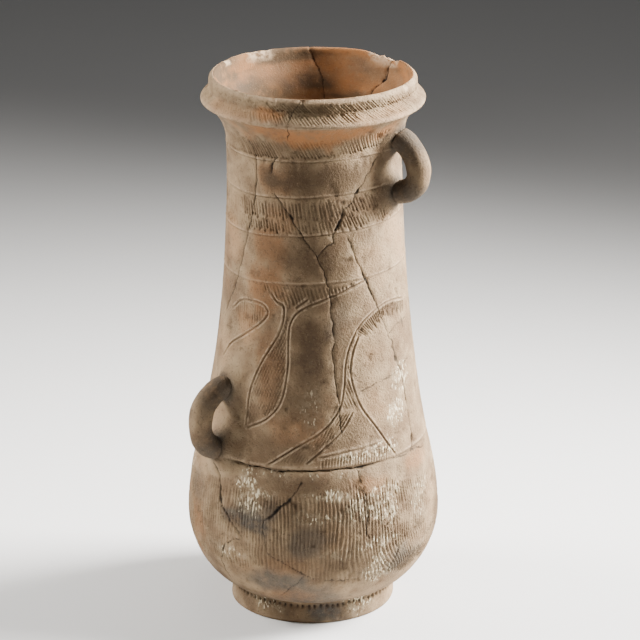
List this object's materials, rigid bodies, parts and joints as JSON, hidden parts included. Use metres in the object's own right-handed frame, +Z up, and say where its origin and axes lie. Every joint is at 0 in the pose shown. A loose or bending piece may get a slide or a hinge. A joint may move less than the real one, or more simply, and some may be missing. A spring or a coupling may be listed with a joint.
{
  "type": "two-handled earthenware jar",
  "caption": "Tall ancient earthenware jar with a ring foot, cord-marked belly, incised tapering body, flared collared mouth and loop handles at different levels.",
  "frame": {"origin": "on the surface the jar stands on, under the middle of the belly", "axes": "+Z up along the jar's axis, -Y towards the side with the incised figures, +X towards the side with the upper handle"},
  "size_m": [0.193, 0.193, 0.4195],
  "materials": {
    "earthenware": "matt low-fired clay, buff to grey-brown, with fire clouds, lime deposits and dark repaired cracks"
  },
  "bodies": {
    "root": {"jar": "earthenware"}
  },
  "joints": []
}
